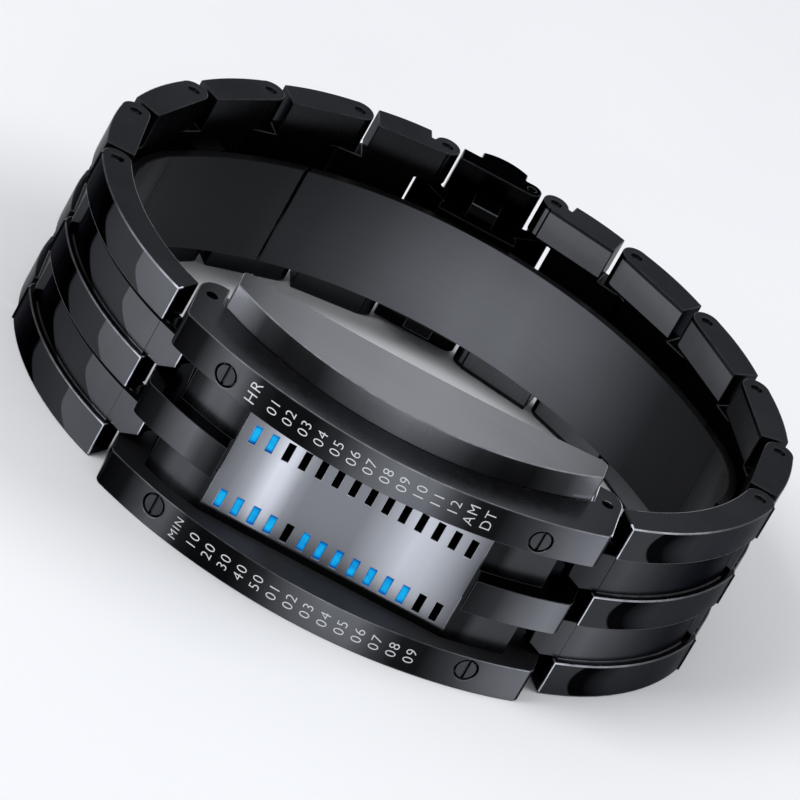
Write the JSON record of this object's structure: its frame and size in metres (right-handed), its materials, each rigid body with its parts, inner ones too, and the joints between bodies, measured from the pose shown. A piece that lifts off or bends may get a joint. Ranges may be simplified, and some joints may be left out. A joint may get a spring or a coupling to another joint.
{
  "type": "wristwatch",
  "caption": "Bracelet wristwatch whose lamps in two slotted rows show the time, with a long side key, stepped steel links and a folding clasp block.",
  "frame": {"origin": "middle of the box round the watch, on the plane it lies on: the lower side face of the case and the links", "axes": "+Z along the wrist axis, towards the side key; the display looks along -Y; +X towards the last hour slot"},
  "size_m": [0.0778, 0.0678, 0.0246],
  "materials": {
    "black_steel": "polished black vapour-coated steel",
    "key_steel": "fine satin dark grey coated steel",
    "screw_steel": "dark coated steel, turned",
    "pin_steel": "ground steel",
    "blade_steel": "smooth dark grey coated steel",
    "mirror_plate": "silvered mirror",
    "black_plastic": "moulded, matt black",
    "lamp_lit": "clear blue light guide, lit",
    "lamp_dark": "smoked light guide, unlit",
    "lamp_chip": "small lamp chip",
    "board": "green solder mask",
    "chip": "black moulding compound",
    "bright_steel": "bright steel",
    "gilt": "gilded spring metal",
    "seal": "soft black rubber"
  },
  "bodies": {
    "case": {"case_body": "black_steel", "hour_rail": "black_steel", "minute_rail": "black_steel", "rail_screws": "screw_steel", "display_plate": "mirror_plate", "light_baffle": "black_plastic", "lit_guides": "lamp_lit", "dark_guides": "lamp_dark", "led_chips": "lamp_chip", "circuit_board": "board", "control_chip": "chip", "timing_crystal": "bright_steel", "battery_tray": "black_plastic", "coin_cells": "bright_steel", "battery_contact": "gilt", "back_cover": "black_steel", "back_gasket": "seal", "back_screws": "screw_steel", "key_seals": "seal", "key_springs": "bright_steel", "key_switches": "chip", "case_pin": "pin_steel"},
    "key": {"side_key": "key_steel", "key_clips": "bright_steel"},
    "left_1": {"left_link_1": "black_steel", "left_pin_1": "pin_steel"},
    "left_2": {"left_link_2": "black_steel", "left_pin_2": "pin_steel"},
    "left_3": {"left_link_3": "black_steel", "left_pin_3": "pin_steel"},
    "left_4": {"left_link_4": "black_steel", "left_pin_4": "pin_steel", "short_blade": "blade_steel"},
    "left_5": {"left_link_5": "black_steel", "left_pin_5": "pin_steel"},
    "left_6": {"left_link_6": "black_steel", "left_pin_6": "pin_steel"},
    "clasp": {"long_blade": "blade_steel", "clasp_block": "black_steel", "cover_pin": "pin_steel", "upper_spring": "bright_steel", "lower_spring": "bright_steel"},
    "cover": {"clasp_cover": "black_steel"},
    "button_up": {"upper_button": "black_steel"},
    "button_down": {"lower_button": "black_steel"},
    "right_6": {"right_link_6": "black_steel", "right_pin_6": "pin_steel"},
    "right_5": {"right_link_5": "black_steel", "right_pin_5": "pin_steel"},
    "right_4": {"right_link_4": "black_steel", "right_pin_4": "pin_steel"},
    "right_3": {"right_link_3": "black_steel", "right_pin_3": "pin_steel"},
    "right_2": {"right_link_2": "black_steel", "right_pin_2": "pin_steel"},
    "right_1": {"right_link_1": "black_steel", "right_pin_1": "pin_steel", "spring_bars": "pin_steel"}
  },
  "joints": [
    {"name": "key_press", "type": "slide", "parent": "case", "child": "key", "axis": [0, 0, -1], "range_m": [0, 0.0006], "stiffness_N_per_m": 1500, "springref_m": -0.0006, "deforming": ["key_springs"]},
    {"name": "left_link_1_turn", "type": "hinge", "parent": "case", "child": "left_1", "pos_m": [-0.0222, -0.02164, 0.0109], "axis": [0, 0, 1], "range_deg": [0, 25]},
    {"name": "left_link_2_turn", "type": "hinge", "parent": "left_1", "child": "left_2", "pos_m": [-0.03667, -0.00573, 0.0109], "axis": [0, 0, 1], "range_deg": [0, 20]},
    {"name": "left_link_3_turn", "type": "hinge", "parent": "left_2", "child": "left_3", "pos_m": [-0.03704, 0.00496, 0.0109], "axis": [0, 0, 1], "range_deg": [0, 20]},
    {"name": "left_link_4_turn", "type": "hinge", "parent": "left_3", "child": "left_4", "pos_m": [-0.03269, 0.01473, 0.0109], "axis": [0, 0, 1], "range_deg": [0, 20]},
    {"name": "left_link_5_turn", "type": "hinge", "parent": "left_4", "child": "left_5", "pos_m": [-0.02553, 0.02269, 0.0109], "axis": [0, 0, 1], "range_deg": [0, 20]},
    {"name": "left_link_6_turn", "type": "hinge", "parent": "left_5", "child": "left_6", "pos_m": [-0.01627, 0.02804, 0.0109], "axis": [0, 0, 1], "range_deg": [0, 20]},
    {"name": "clasp_turn", "type": "hinge", "parent": "left_6", "child": "clasp", "pos_m": [-0.00639, 0.03014, 0.0109], "axis": [0, 0, 1], "range_deg": [0, 20]},
    {"name": "right_link_6_turn", "type": "hinge", "parent": "clasp", "child": "right_6", "pos_m": [0.00639, 0.03014, 0.0109], "axis": [0, 0, 1], "range_deg": [0, 20]},
    {"name": "right_link_5_turn", "type": "hinge", "parent": "right_6", "child": "right_5", "pos_m": [0.01627, 0.02804, 0.0109], "axis": [0, 0, 1], "range_deg": [0, 20]},
    {"name": "right_link_4_turn", "type": "hinge", "parent": "right_5", "child": "right_4", "pos_m": [0.02553, 0.02269, 0.0109], "axis": [0, 0, 1], "range_deg": [0, 20]},
    {"name": "right_link_3_turn", "type": "hinge", "parent": "right_4", "child": "right_3", "pos_m": [0.03269, 0.01473, 0.0109], "axis": [0, 0, 1], "range_deg": [0, 20]},
    {"name": "right_link_2_turn", "type": "hinge", "parent": "right_3", "child": "right_2", "pos_m": [0.03704, 0.00496, 0.0109], "axis": [0, 0, 1], "range_deg": [0, 20]},
    {"name": "right_link_1_turn", "type": "hinge", "parent": "right_2", "child": "right_1", "pos_m": [0.03667, -0.00573, 0.0109], "axis": [0, 0, 1], "range_deg": [0, 20]},
    {"name": "cover_flip", "type": "hinge", "parent": "clasp", "child": "cover", "pos_m": [0.0035, 0.03089, 0.0109], "axis": [0, 0, -1], "range_deg": [0, 85]},
    {"name": "upper_button_press", "type": "slide", "parent": "clasp", "child": "button_up", "axis": [0, 0, -1], "range_m": [0, 0.0007], "stiffness_N_per_m": 1200, "springref_m": -0.0006, "deforming": ["upper_spring"]},
    {"name": "lower_button_press", "type": "slide", "parent": "clasp", "child": "button_down", "axis": [0, 0, 1], "range_m": [0, 0.0007], "stiffness_N_per_m": 1200, "springref_m": -0.0006, "deforming": ["lower_spring"]}
  ]
}
